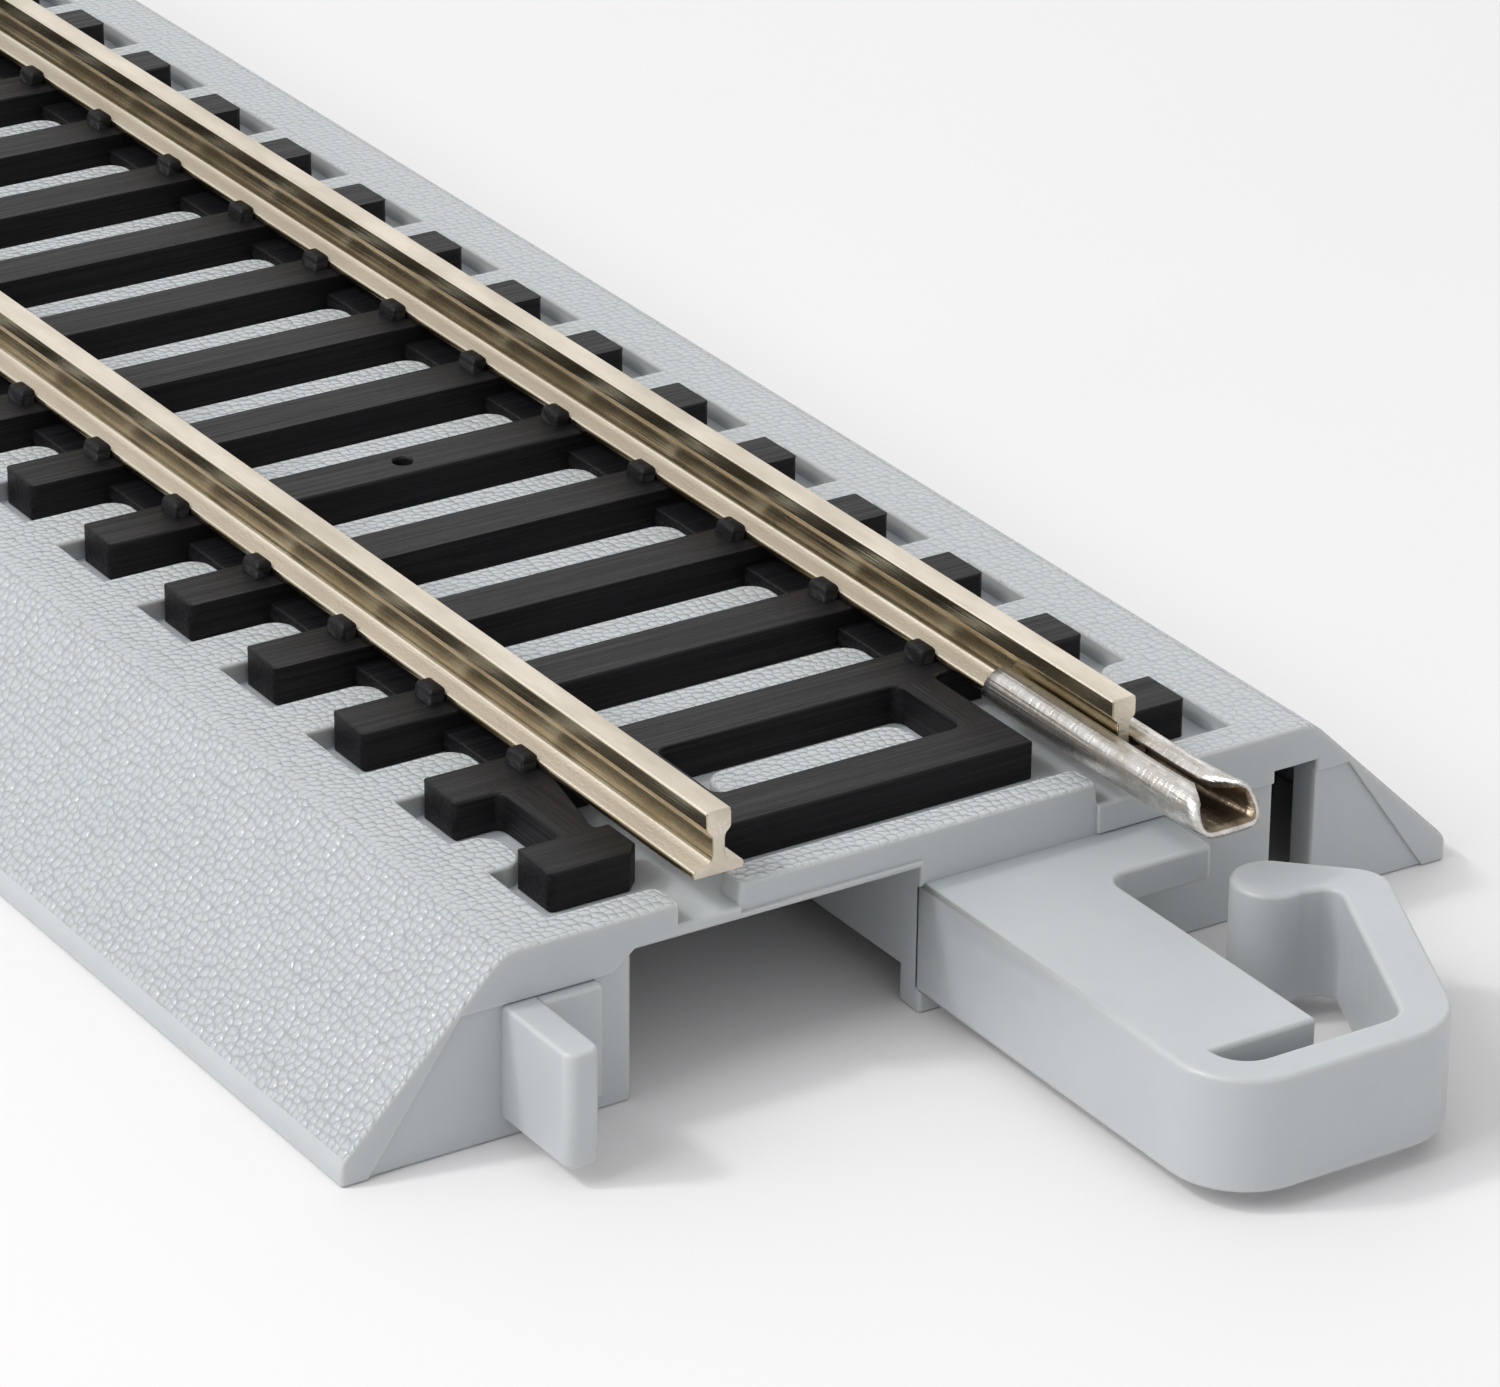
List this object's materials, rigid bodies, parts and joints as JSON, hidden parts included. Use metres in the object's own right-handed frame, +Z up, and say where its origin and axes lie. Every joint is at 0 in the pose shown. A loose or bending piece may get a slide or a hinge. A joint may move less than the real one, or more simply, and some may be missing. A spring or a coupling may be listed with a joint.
{
  "type": "model railway track section",
  "caption": "Straight snap-together model railway track: grey ballast-textured roadbed, black tie strip, two metal rails, slide-on rail joiners and a sprung hook at each end.",
  "frame": {"origin": "middle of the section, on the surface it rests on", "axes": "+X along the track towards the pictured end, +Y towards the rail that carries the joiner at that end, +Z up"},
  "size_m": [0.2656, 0.0486, 0.0107],
  "materials": {
    "roadbed_grey": "satin, fine pebbled ballast grain on top and slopes",
    "tie_black": "satin, moulded wood grain",
    "rail_metal": "drawn nickel silver, bright head, darker web",
    "joiner_metal": "folded sheet, fine scratches"
  },
  "bodies": {
    "track_bed": {"roadbed": "roadbed_grey", "tie_strip": "tie_black", "rail_left": "rail_metal", "rail_right": "rail_metal"},
    "front_joiner": {"joiner_front": "joiner_metal"},
    "back_joiner": {"joiner_back": "joiner_metal"},
    "front_latch": {"latch_front": "roadbed_grey"},
    "back_latch": {"latch_back": "roadbed_grey"}
  },
  "joints": [
    {"name": "joiner_front_slide", "type": "slide", "parent": "track_bed", "child": "front_joiner", "axis": [1, 0, 0], "range_m": [-0.0022, 0.006]},
    {"name": "joiner_back_slide", "type": "slide", "parent": "track_bed", "child": "back_joiner", "axis": [-1, 0, 0], "range_m": [-0.0022, 0.006]},
    {"name": "latch_front_flex", "type": "hinge", "parent": "track_bed", "child": "front_latch", "pos_m": [0.13203, 0.006, 0.00312], "axis": [0, 0, 1], "range_deg": [0, 14], "stiffness_Nm_per_rad": 0.1},
    {"name": "latch_back_flex", "type": "hinge", "parent": "track_bed", "child": "back_latch", "pos_m": [-0.13203, -0.006, 0.00312], "axis": [0, 0, 1], "range_deg": [0, 14], "stiffness_Nm_per_rad": 0.1}
  ]
}
